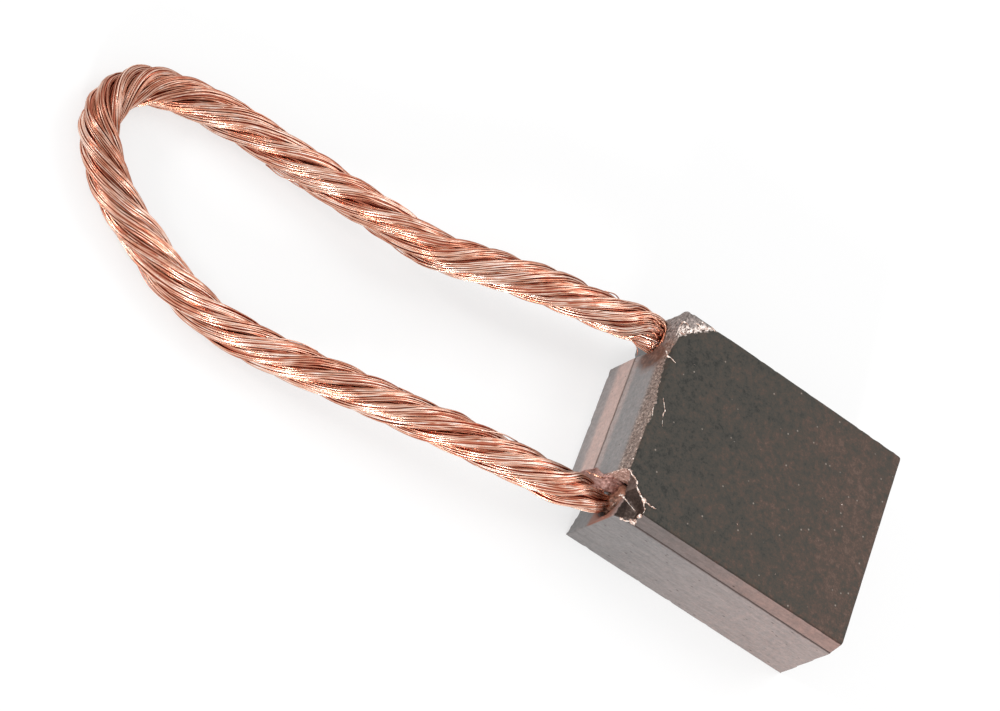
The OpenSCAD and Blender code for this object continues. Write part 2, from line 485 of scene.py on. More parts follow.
# How pink the rubbed faces are: the end at heights, the -Y side at distances along it, and what its bevel
# adds.
PINK_END = ((0, 1.2, 1.8, 3.5, 3.8, 4.3, 4.7, 7), (0.25, 0.3, 0.95, 1, 0.5, 0.55, 0, 0.1))
PINK_SIDE = ((0, 5, 10, 16, 24), (-0.1, -0.02, 0.2, 0.42, 0.5))
PINK_BEVEL = ((8, 14, 24), (0, 0.2, 0.3))
# Brown patch on the end under the whole corner's notch: its place, and how wide and high it is.
PATCH_ACROSS, PATCH_WIDE = 15.0, 1.2
PATCH_UP, PATCH_HIGH = 6.1, 1.6

# Side wall of the broken corner's notch, depth of the notch at the side, and height of the crease along it.
NOTCH_WALL = 3.4
NOTCH_SIDE = 1.45
SIDE_CREASE = 7.25
# The wall's pink facet reaches this far from the end, and down to this height, and the floor is smeared with
# copper from between these heights up.
FACET_BACK = 2.1
FACET_FOOT = 4.6
SMEAR_FOOT = (2.8, 3.4)
# The break reaches this far from the end, and down to this height.
BREAK_BACK = 3.15
BREAK_FOOT = 5.7
# Painted light and shade on the broken carbon, facet by facet: how light it is drawn up its ledge, in the
# hollow beyond it and elsewhere.
LEDGE_LIGHT = ((1.6, 2.2, 2.3, 2.9), (0.05, 0.1, 0.3, 0.4))
HOLLOW_LIGHT = 0.5
WALL_LIGHT = 0.16

# Roughness of worked areas: how far each lies sunk, and how deep its coarse and its fine grains are.
AREA_GRAINS = {
    "grain": (0.04, 0.06, 0.04),
    "flaked": (0.05, 0.04, 0.03),
    "bright": (0, 0.06, 0.05),
    "facet": (0, 0.05, 0.04),
}
BREAK_WAVES = 0.03
BREAK_GRAINS = 0.02
DIE_WAVES = 0.012  # unevenness of every face, as it leaves the die
# Sinks below the true surface: grooves, their half width and chips along the edges.
SIDE_GROOVE = 0.11
END_GROOVE = 0.06
GROOVE_HALF = 0.1
CHIP = 0.05


def select_only(piece):
    bpy.ops.object.select_all(action="DESELECT")
    piece.select_set(True)
    bpy.context.view_layer.objects.active = piece


def noise_at(points, size, seed):
    """Smooth seeded noise from -1 to 1 at each point; points and size in millimetres."""
    shift = np.array([37.0, 11.0, 71.0]) * seed
    return np.array([noise.noise(Vector(p)) for p in (points / size + shift)])


def block_copy():
    """A copy of the block's CAD mesh, closed up and laid on an even grid."""
    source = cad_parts["carbon_block"]
    piece = bpy.data.objects.new("pressed_block", source.data.copy())
    bpy.context.scene.collection.objects.link(piece)
    select_only(piece)
    bpy.ops.object.mode_set(mode="EDIT")
    bpy.ops.mesh.select_all(action="SELECT")
    bpy.ops.mesh.remove_doubles(threshold=0.001 * MM)
    bpy.ops.object.mode_set(mode="OBJECT")
    grid = piece.modifiers.new("grid", "REMESH")
    grid.mode = "VOXEL"
    grid.voxel_size = GRID
    bpy.ops.object.modifier_apply(modifier="grid")
    soften = piece.modifiers.new("soften", "SMOOTH")
    soften.factor = 0.5
    soften.iterations = 2
    bpy.ops.object.modifier_apply(modifier="soften")
    return piece


def block_place(piece):
    """Place of each vertex in millimetres from the block's corner, and its normal."""
    count = len(piece.data.vertices)
    place, normal = np.zeros(count * 3), np.zeros(count * 3)
    piece.data.vertices.foreach_get("co", place)
    piece.data.vertex_normals.foreach_get("vector", normal)
    return (place.reshape(-1, 3) - CORNER) / MM, normal.reshape(-1, 3)


def behind_end(place):
    """Distance behind the flexible end, which leans in above its parting groove."""
    lean = END_LEAN * np.clip((place[:, 2] - END_PARTING) / (THICK - END_PARTING), 0, 1)
    return place[:, 0] - lean


def skin_areas(place, on_top, on_end):
    """The dark skin, in millimetres inside its edge, and where it has come off in grains or flakes."""
    x, y, z = place.T
    edge = x - np.interp(y, *SKIN_EDGE)
    flake = (np.interp(x, *FLAKE_EDGE) - y) * 0.8
    skin = np.where(on_top, np.minimum(edge, flake), NO_SKIN)
    lapped = on_end & (y > LAP_EDGE[0][0]) & (y < LAP_EDGE[0][-1])
    skin = np.where(lapped, z - np.interp(y, *LAP_EDGE), skin)
    band = step_up(z, *BAND_FOOT) * (behind_end(place) < 1.0) * (y > NOTCH_WALL)
    grain = np.maximum(band * on_end, on_top * step_up(-skin, -0.5, 0.0) * (y > 3.0))
    on_corner = step_up(y, *FLAKED_ACROSS) * step_up(z, *FLAKED_UP) * (x < FLAKED_BACK)
    flaked = np.maximum(on_top * step_up(-flake, -0.1, 0.1), on_corner)
    shine = np.abs(flake + 0.25 + 0.2 * noise_at(place, 0.7, 6)) - 0.15 * (x < FLAKED_BACK)
    bright = (on_top | (z > 8.2)) * step_up(-shine, -0.36, -0.14)
    bright *= (y > BRIGHT_FROM) * (x > BRIGHT_ALONG[0]) * (x < BRIGHT_ALONG[1])
    return {"skin": skin, "grain": grain, "flaked": flaked, "bright": bright}


def broken_areas(place, normal, on_top, on_side):
    """The break and how light its carbon is drawn, as painted light and shade on its facets, the pink wall of
    the notch, and copper smeared on its floor.
    """
    x, y, z = place.T
    in_notch = x < NOTCH_SIDE + 0.65 * y / NOTCH_WALL + 0.2
    floor = (normal[:, 0] < -0.7) & in_notch & (z < 6.9) & (y < NOTCH_WALL - 0.1)
    facet = (np.abs(y - NOTCH_WALL) < 0.25) & (normal[:, 1] < -0.5)
    facet = facet & (x < FACET_BACK) & (z > FACET_FOOT)
    within = (x < BREAK_BACK) & (y < NOTCH_WALL + 0.1) & (z > BREAK_FOOT) & (z < THICK - 0.08)
    broken = within & ~on_top & ~on_side & ~floor & ~facet
    hollow = (y > 2.25) & (normal[:, 2] < 0.6)
    light = np.where(hollow, HOLLOW_LIGHT + 0.12 * noise_at(place, 0.5, 11), WALL_LIGHT)
    light = np.where(normal[:, 2] > 0.5, np.interp(x, *LEDGE_LIGHT), light)
    smear = floor * step_up(z, *SMEAR_FOOT) * (0.55 + 0.45 * step_up(-z, -6.6, -6.0))
    return {"facet": facet, "broken": broken, "light": light, "smear": smear}


def worked_areas(place, normal):
    """How far each finish reaches at each vertex, from 0 to 1; the skin is in millimetres."""
    x, y, z = place.T
    # the three faces are told by their normals, and by how near the outside they lie
    on_top = (normal[:, 2] > 0.55) & (z > THICK - 0.25)
    on_end = (normal[:, 0] < -0.6) & (behind_end(place) < 0.35)
    on_side = (normal[:, 1] < -0.6) & (y < 0.9) & (x > 0.1)
    bevel = on_side & (z > SIDE_CREASE)
    pink_side = np.interp(x, *PINK_SIDE) + bevel * np.interp(x, *PINK_BEVEL)
    off_patch = ((y - PATCH_ACROSS) / PATCH_WIDE) ** 2 + ((z - PATCH_UP) / PATCH_HIGH) ** 2
    return {
        **skin_areas(place, on_top, on_end),
        **broken_areas(place, normal, on_top, on_side),
        "pink": np.where(on_end, np.interp(z, *PINK_END), pink_side),
        "bevel": bevel,
        "side": on_side,
        "end": on_end,
        "brown_patch": np.clip(1.5 * np.exp(-off_patch), 0, 1) * (x < 2.5) * ~on_top,
    }


def rough_out(place, areas):
    """How far each vertex sinks below the true surface, in millimetres."""
    x, y, z = place.T
    sink = DIE_WAVES * noise_at(place, 1.3, 1)
    grains = noise_at(place, 0.34, 2)
    dust = noise_at(place, 0.2, 3)
    for area, (sunk, coarse, fine) in AREA_GRAINS.items():
        sink += areas[area] * (sunk + coarse * grains + fine * dust)
    sink += areas["broken"] * (BREAK_WAVES * noise_at(place, 0.8, 4) + BREAK_GRAINS * dust)
    sink += areas["side"] * SIDE_GROOVE * np.exp(-(((z - SIDE_CREASE) / GROOVE_HALF) ** 2))
    end_groove = areas["end"] * END_GROOVE * np.exp(-(((z - END_PARTING) / GROOVE_HALF) ** 2))
    sink += end_groove * step_up(dust, -0.3, 0.3)
    from_edges = [
        np.hypot(x - END_LEAN, z - THICK),
        np.hypot(x, z),
        np.hypot(y - 0.5, z - THICK),
        np.hypot(y, z),
        np.hypot(LONG - x, THICK - z),
        np.hypot(LONG - x, y),
        np.hypot(WIDE - y, THICK - z),
    ]
    away = np.minimum.reduce(from_edges)
    chips = step_up(noise_at(place, 0.8, 5), 0.15, 0.5)
    return sink + CHIP * chips * step_up(-away, -0.45, -0.05)


def make_block():
    piece = block_copy()
    place, normal = block_place(piece)
    areas = worked_areas(place, normal)
    moved = place - normal * rough_out(place, areas)[:, None]
    moved[:, 2] = np.maximum(moved[:, 2], 0)
    piece.data.vertices.foreach_set("co", (moved * MM + CORNER).ravel())
    add_fields(piece.data, areas)
    piece.data.update()
    select_only(piece)
    bpy.ops.object.shade_smooth()
    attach(piece, "root")
    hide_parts("carbon_block")
    return piece


# ---------------- burrs, crumbs and frayed wires

# Each thread or crumb: its radius and its places, in millimetres from the block's corner.
BREAK_BURRS = [
    (0.07, [(0.4, 3.22, 8.76), (0.5, 3.1, 8.82)]),
    (0.05, [(0.46, 3.15, 8.8), (0.76, 2.97, 8.8), (1.19, 2.77, 8.8), (1.5, 2.62, 8.8)]),
    (0.08, [(1.36, 2.7, 8.8), (1.5, 2.62, 8.8), (1.53, 2.35, 8.8)]),
    (0.06, [(1.53, 2.38, 8.8), (1.76, 2.1, 8.8), (2.07, 1.86, 8.8), (2.3, 1.7, 8.8), (2.57, 1.54, 8.8)]),
    (0.19, [(2.44, 1.52, 8.78), (2.7, 1.32, 8.78)]),
    (0.06, [(2.6, 1.42, 8.82), (3.35, 1.41, 8.84), (3.95, 1.46, 8.82)]),
    (0.06, [(2.66, 1.4, 8.78), (2.94, 0.93, 8.78), (2.98, 0.55, 8.74)]),
    (0.14, [(2.98, 0.5, 8.6), (2.84, 0.3, 8.46), (2.7, 0.2, 8.3)]),
    (0.13, [(2.08, 0.08, 7.02), (2.3, 0.08, 7.14)]),
    (0.06, [(2.48, 0.05, 7.12), (2.64, 0.05, 7.2)]),
    (0.17, [(2.72, 0.06, 7.42), (3.06, 0.08, 7.8)]),
    (0.08, [(3.02, 0.05, 7.5), (3.4, 0.04, 7.3)]),
    (0.05, [(2.27, 0.06, 7.12), (2.5, 0.05, 7.16), (2.78, 0.05, 7.48)]),
    (
        0.05,
        [(1.42, 2.16, 6.66), (1.57, 2.03, 6.76), (2.04, 1.65, 7.06), (2.28, 1.4, 7.22), (2.49, 1.29, 7.34)],
    ),
    (0.03, [(2.45, 1.31, 7.34), (2.66, 1.15, 7.45), (2.87, 0.99, 7.58)]),
    (0.12, [(1.4, 1.98, 6.62), (1.58, 1.94, 6.76)]),
    (0.08, [(1.6, 2.1, 6.8), (1.84, 1.78, 6.98)]),
    (0.05, [(0.22, 3.34, 5.84), (0.3, 3.42, 6.76), (0.42, 3.44, 8.0), (0.48, 3.36, 8.4)]),
    (0.07, [(0.82, 3.36, 6.44), (0.98, 3.36, 6.36)]),
    (0.05, [(1.14, 3.36, 6.2), (1.28, 3.36, 6.24)]),
    (0.04, [(0.62, 3.36, 6.7), (0.74, 3.36, 6.58)]),
    (0.04, [(1.7, 1.63, 6.05), (1.6, 1.16, 5.8)]),
    (0.05, [(1.72, 3.34, 4.8), (1.86, 3.34, 4.84)]),
]
TOP_BURRS = [
    (
        0.06,
        [(0.05, 14.44, 8.62), (0.22, 14.1, 8.7), (0.52, 14.07, 8.8), (0.83, 13.97, 8.82), (1.04, 13.9, 8.8)],
    ),
    (0.05, [(0.02, 14.62, 8.4), (0.08, 14.4, 8.62)]),
    (0.035, [(1.06, 10.5, 8.8), (1.17, 10.33, 8.8), (1.63, 9.58, 8.8), (1.6, 9.1, 8.8), (1.9, 8.2, 8.8)]),
    (0.03, [(0.58, 9.3, 8.79), (0.62, 8.9, 8.79), (0.78, 8.5, 8.79)]),
    (0.06, [(0.46, 6.26, 8.78), (0.44, 6.1, 8.78)]),
    (0.05, [(0.44, 5.16, 8.78), (0.46, 5.02, 8.78)]),
    (0.06, [(0.46, 4.3, 8.78), (0.5, 4.16, 8.78)]),
    (0.07, [(0.4, 11.4, 8.55), (0.42, 11.26, 8.58)]),
    (
        0.09,
        [(0.3, 17.1, 8.7), (0.42, 17.52, 8.72), (0.6, 17.72, 8.74), (0.9, 17.68, 8.76), (1.0, 17.44, 8.76)],
    ),
    (0.07, [(0.34, 16.46, 8.7), (0.55, 16.55, 8.76), (0.85, 16.68, 8.78), (1.02, 16.98, 8.78)]),
    (0.07, [(1.62, 18.3, 8.74), (1.92, 18.24, 8.76), (2.2, 18.1, 8.78)]),
    (0.06, [(2.52, 18.18, 8.8), (2.76, 18.6, 8.78)]),
    (0.05, [(2.05, 18.7, 8.72), (2.32, 18.72, 8.74)]),
    (0.05, [(3.0, 18.86, 8.76), (3.46, 18.66, 8.8)]),
    (0.06, [(11.15, 4.5, 8.79), (11.28, 4.48, 8.79)]),
    (0.05, [(19.85, 11.6, 8.79), (19.95, 11.64, 8.79)]),
    (0.045, [(20.36, 10.9, 8.79), (20.44, 10.86, 8.79)]),
    (0.05, [(15.95, 2.5, 8.79), (16.05, 2.52, 8.79)]),
    (0.05, [(2.66, 14.8, 8.79), (2.74, 14.86, 8.79)]),
    (0.045, [(8.46, 10.8, 8.79), (8.54, 10.84, 8.79)]),
    (0.045, [(18.86, 16.4, 8.79), (18.94, 16.44, 8.79)]),
]
FRAYED_WIRES = [
    (0.1, [(-0.5, 18.15, 6.38), (0.05, 18.02, 6.46), (0.27, 17.62, 6.62), (0.3, 17.15, 6.68)]),
    (0.1, [(0.3, 17.2, 6.68), (0.3, 16.75, 6.7), (0.28, 16.4, 6.68), (0.25, 16.1, 6.5), (0.2, 15.92, 6.2)]),
    (0.06, [(-1.2, 18.05, 6.4), (-0.6, 18.0, 6.46), (-0.1, 17.95, 6.42), (0.25, 17.85, 6.35)]),
    (0.07, [(-1.3, 17.8, 6.56), (-0.6, 17.72, 6.62), (-0.05, 17.6, 6.6), (0.26, 17.5, 6.52)]),
    (0.06, [(-1.1, 17.5, 6.64), (-0.5, 17.4, 6.68), (0.0, 17.25, 6.66), (0.28, 17.1, 6.6)]),
    (0.07, [(-1.0, 17.1, 6.64), (-0.4, 17.0, 6.68), (0.05, 16.85, 6.62), (0.26, 16.7, 6.52)]),
    (0.06, [(-0.9, 16.7, 6.54), (-0.3, 16.55, 6.52), (0.1, 16.4, 6.42), (0.24, 16.25, 6.3)]),
    (0.07, [(-0.3, 16.2, 5.9), (0.1, 15.95, 5.6), (0.14, 15.85, 5.2), (-0.1, 15.85, 5.0)]),
    (0.06, [(-1.58, 15.95, 5.0), (-0.95, 15.65, 5.0), (-0.62, 15.25, 5.0), (-0.52, 14.9, 5.0)]),
    (0.06, [(-1.6, 2.6, 5.9), (-0.6, 2.6, 6.15), (0.1, 2.9, 6.05)]),
    (0.06, [(-0.7, 1.3, 5.75), (-0.2, 1.75, 5.95), (0.3, 1.95, 5.9), (0.55, 1.8, 5.7)]),
]

THREAD_SIDES = 6
THREAD_STEP = 0.05 * MM
# A line of no more points than this is a crumb, which is less lumpy than a thread.
CRUMB_POINTS = 8
CRUMB_LUMPS = 0.15
THREAD_LUMPS = 0.35
BURR_RISE = 0.2 * MM  # the most that a burr stands above the top face

# Lump at the broken corner: millimetres out from the mouth of the seat, and the lump's radius at each.
LUMP_STEPS = np.array([-0.5, -0.1, 0.15, 0.35, 0.55, 0.75, 0.9, 1.0])
LUMP_RADII = np.array([1.7, 1.6, 1.4, 1.2, 1.02, 0.88, 0.76, 0.5])
LUMP_SIDES = 48

# Outer and inner edge of the flattened strands, as places on the block.
FLAT_EDGE = [(-1.3, 3.2, 4.9), (-0.5, 3.9, 4.5), (0.0, 4.45, 4.15), (0.12, 3.8, 5.0), (0.18, 3.42, 5.7)]
FLAT_EDGE += [(0.5, 3.5, 6.12), (1.1, 3.62, 6.1), (1.8, 3.78, 5.9), (2.3, 3.9, 5.6)]
FLAT_INNER = [(-2.4, 1.8, 5.9), (-1.6, 1.6, 5.9), (-0.9, 1.6, 5.8), (-0.2, 1.8, 5.75), (0.4, 2.0, 5.65)]
FLAT_INNER += [(0.9, 2.3, 5.5), (1.3, 2.5, 5.4), (1.9, 2.6, 5.3)]
FLAT_STEP = 0.12 * MM
FLAT_ROWS = 60
FLAT_COLUMNS = 24
FLAT_THICK = 0.14 * MM
FLAT_ARCH = 0.16 * MM
FLAT_RIPPLE = 0.03 * MM
FLAT_GRAINS = 0.1 * MM


def block_places(points):
    """Places in millimetres from the block's corner, as places in the frame."""
    return np.array(points, float) * MM + CORNER


def threads(name, pieces):
    """Ragged threads and crumbs, thick in the middle and thin at both ends."""
    lines, radii, ups = [], [], []
    for radius, points in pieces:
        line = smooth_line(block_places(points), THREAD_STEP)
        count = len(line)
        t = np.linspace(-1, 1, count)
        lumpy = THREAD_LUMPS if count > CRUMB_POINTS else CRUMB_LUMPS
        lumps = 1 + wander(count, lumpy, max(3, count // 3))
        sway = [wander(count, 0.4 * radius * MM, max(3, count // 4)) for _ in range(3)]
        line = line + np.stack(sway, axis=1)
        lines.append(line)
        radii.append(radius * MM * np.clip(np.sqrt(1.02 - t * t) * lumps, 0.12, 1.5))
        ups.append(frames_of(line)[2])
    verts, faces = tubes(lines, radii, THREAD_SIDES, ups)
    verts[:, 2] = np.minimum(verts[:, 2], TOP_Z + BURR_RISE)
    fields = {
        "tone": rng.uniform(0.3, 1.0, len(verts)),
        "crest_shading": ring_heights(THREAD_SIDES, len(verts) // THREAD_SIDES) * 0.4,
        "dull_shade": np.zeros(len(verts)),
    }
    piece = mesh_piece(name, verts, faces, fields)
    return piece


def entry_lump():
    """Copper and carbon powder pressed round the pinched end of the rope, filling the mouth of its seat."""
    line = resample(pinched_line, rope_run, SEAT_DEPTH + LUMP_STEPS * MM)
    upright = np.tile([0.0, 0.0, 1.0], (len(line), 1))
    verts, faces = tubes([line], [LUMP_RADII * MM], LUMP_SIDES, [upright])
    place = (verts - CORNER) / MM
    away = unit(verts - np.repeat(line, LUMP_SIDES, axis=0))
    rough = 0.12 * noise_at(place, 0.5, 8) + 0.09 * noise_at(place, 0.22, 9)
    # it is slimmer on its +Y side, out in the notch
    rough -= 0.22 * step_up(away[:, 1], 0.1, 0.8) * np.repeat(LUMP_STEPS > 0.2, LUMP_SIDES)
    verts = verts + away * rough[:, None] * MM
    verts[:, 1] = np.maximum(verts[:, 1], -SIDE_Y + 0.05 * MM)
    fields = {"pale": step_up(place[:, 1] + 0.6 * (place[:, 2] - 5), 2.4, 3.4)}
    piece = mesh_piece("entry_lump", verts, faces, fields)
    return piece


def flattened_strand():
    """Strands pressed flat between the pinched rope and the end of the block, smeared with carbon."""
    at = np.linspace(0, 1, FLAT_ROWS)
    rails = []
    for points in (FLAT_EDGE, FLAT_INNER):
        rail = smooth_line(block_places(points), FLAT_STEP)
        rails.append(resample(rail, np.linspace(0, 1, len(rail)), at))
    part = np.linspace(0, 1, FLAT_COLUMNS)[None, :, None]
    sheet = rails[0][:, None] * (1 - part) + rails[1][:, None] * part
    across = part[:, :, 0]
    sheet[:, :, 2] += FLAT_ARCH * np.sin(across * math.pi) + FLAT_RIPPLE * np.sin(across * 30)
    grains = noise_at(sheet.reshape(-1, 3) / MM, 0.3, 10).reshape(FLAT_ROWS, FLAT_COLUMNS)
    sheet[:, :, 2] += FLAT_GRAINS * grains * step_up(at, 0.45, 0.7)[:, None]
    under = sheet - [0, 0, FLAT_THICK]
    verts = np.vstack([sheet.reshape(-1, 3), under.reshape(-1, 3)])
    half = FLAT_ROWS * FLAT_COLUMNS
    faces = []
    for i in range(FLAT_ROWS - 1):
        for k in range(FLAT_COLUMNS - 1):
            a = i * FLAT_COLUMNS + k
            b = a + FLAT_COLUMNS
            faces.append((a, a + 1, b + 1, b))
            faces.append((half + a, half + b, half + b + 1, half + a + 1))
    rim = [i * FLAT_COLUMNS for i in range(FLAT_ROWS)]
    rim += [(FLAT_ROWS - 1) * FLAT_COLUMNS + k for k in range(1, FLAT_COLUMNS)]
    rim += [i * FLAT_COLUMNS + FLAT_COLUMNS - 1 for i in range(FLAT_ROWS - 2, -1, -1)]
    rim += list(range(FLAT_COLUMNS - 2, 0, -1))
    for a, b in zip(rim, rim[1:] + rim[:1]):
        faces.append((a, b, half + b, half + a))
    piece = mesh_piece("flattened_strand", verts, faces, {})
    return piece


# ---------------- materials

# Settings that nodes share.
TIMES_PLUS = {"operation": "MULTIPLY_ADD"}
BLEND = {"data_type": "RGBA"}
TINT = {"data_type": "RGBA", "blend_type": "MULTIPLY"}

# Patterns are laid out in millimetres, and each value here is how many of its marks fit in one millimetre.
TARNISH = 0.35  # patches of tarnish about 3 mm across, as left by fingers and heat
NICKS = 2.2  # nicks and dirt on the wires, half a millimetre long
CLOUDS = 0.4  # shade of the pressed powder that drifts over 2.5 mm
MOTTLE = 1.9  # blotches of half a millimetre where copper and graphite are mixed unevenly
GRIT = 5.0  # grains of 0.2 mm, drawn several times as coarse as the powder so that they show
RUBBING = (0.7, 3.2, 4.0)  # marks 1.4 mm long and 0.3 mm wide, left by the box that the block slides in
PITS = 0.8  # one pit at most to a cell, and the cells are 1.4 mm long and 0.6 mm wide
FLECKS = 1.2  # one speck of copper at most to a cell of the skin, 0.8 mm across
BURR_GRIT = 5.5  # grains in the turned-up edges, about as coarse as the grit
SMEAR_GRIT = 3.5  # clotted powder in the smears, 0.3 mm across
# Height of the roughness that is too fine to model, in metres.
BUMP = 0.00006
BURR_BUMP = 0.00005


def linear(hex_colour):
    """An sRGB hex colour as linear red, green, blue and alpha."""
    parts = [int(hex_colour[i : i + 2], 16) / 255 for i in (1, 3, 5)]
    return [c / 12.92 if c <= 0.04045 else ((c + 0.055) / 1.055) ** 2.4 for c in parts] + [1]


def add(tree, kind, settings=None, stops=(), **inputs):
    """Adds a shader node with its settings, colour stops and inputs: values, sockets or other nodes."""
    node = tree.nodes.new("ShaderNode" + kind)
    for key, value in (settings or {}).items():
        setattr(node, key, value)
    for i, (place, hex_colour) in enumerate(stops):
        while len(node.color_ramp.elements) <= i:
            node.color_ramp.elements.new(1)
        node.color_ramp.elements[i].position = place
        node.color_ramp.elements[i].color = linear(hex_colour)
    for key, value in inputs.items():
        socket = node.inputs[int(key[1:])] if key[1:].isdigit() else node.inputs[key.replace("_", " ")]
        if isinstance(value, bpy.types.Node):
            value = value.outputs[0]
        if isinstance(value, bpy.types.NodeSocket):
            tree.links.new(value, socket)
        else:
            socket.default_value = value
    return node


def new_material(name):
    """A material with no nodes yet."""
    material = bpy.data.materials.new(name)
    material.use_nodes = True
    material.node_tree.nodes.clear()
    return material, material.node_tree


def laid_out(tree, *names):
    """The place on the object in millimetres, and the named fields of the piece."""
    place = add(tree, "TexCoord").outputs["Object"]
    mm = add(tree, "VectorMath", {"operation": "SCALE"}, i0=place, Scale=1 / MM)
    fields = [add(tree, "Attribute", {"attribute_name": name}).outputs["Fac"] for name in names]
    return mm, dict(zip(names, fields))


def bare_copper():
    """Drawn soft copper wire, bare: salmon metal, with painted shade that turns it dull brown on top of the
    bend and on one side and dark in the gaps, and painted highlights along the crests of the wires.
    """
    material, tree = new_material("bare_copper_wire")
    mm, field = laid_out(tree, "tone", "crest_shading", "dull_shade")
    patches = add(tree, "TexNoise", Vector=mm, Scale=TARNISH, Detail=3.0)
    nicks = add(tree, "TexNoise", Vector=mm, Scale=NICKS, Detail=2.0)
    # each wire has its own shade; it is drawn light along its crest as a painted highlight, and dark in the
    # gaps as painted shade
    mixed = add(tree, "Math", TIMES_PLUS, i0=patches, i1=0.7, i2=-0.4)
    mixed = add(tree, "Math", TIMES_PLUS, i0=field["tone"], i1=0.25, i2=mixed)
    mixed = add(tree, "Math", TIMES_PLUS, i0=field["crest_shading"], i1=0.5, i2=mixed)
    shades = [(0, "#BC6E57"), (0.22, "#D08E72"), (0.48, "#EDC0AA"), (0.72, "#FBE1D3"), (0.95, "#FFF6F0")]
    colour = add(tree, "ValToRGB", stops=shades, Fac=mixed)
    # painted shade: the copper is drawn browner and less shiny where it is dull, in patches
    dull_shade_at = add(tree, "Math", TIMES_PLUS, i0=nicks, i1=0.8, i2=-0.4)
    dull_shade_at = add(tree, "Math", {"operation": "ADD"}, i0=dull_shade_at, i1=field["dull_shade"])
    dull_shade_at = add(tree, "MapRange", Value=dull_shade_at, From_Min=0.2, From_Max=1.0, To_Max=0.7)
    shaded = add(tree, "Mix", TINT, i0=1.0, i6=colour, i7=linear("#B79C90"))
    colour = add(tree, "Mix", BLEND, i0=dull_shade_at, i6=colour, i7=shaded.outputs[2]).outputs[2]
    rough = add(tree, "MapRange", Value=dull_shade_at, To_Min=0.25, To_Max=0.44)
    bump = add(tree, "Bump", Height=nicks, Strength=0.3, Distance=BUMP)
    shader = add(tree, "BsdfPrincipled", Base_Color=colour, Metallic=1.0, Roughness=rough, Normal=bump)
    add(tree, "OutputMaterial", Surface=shader)
    return material


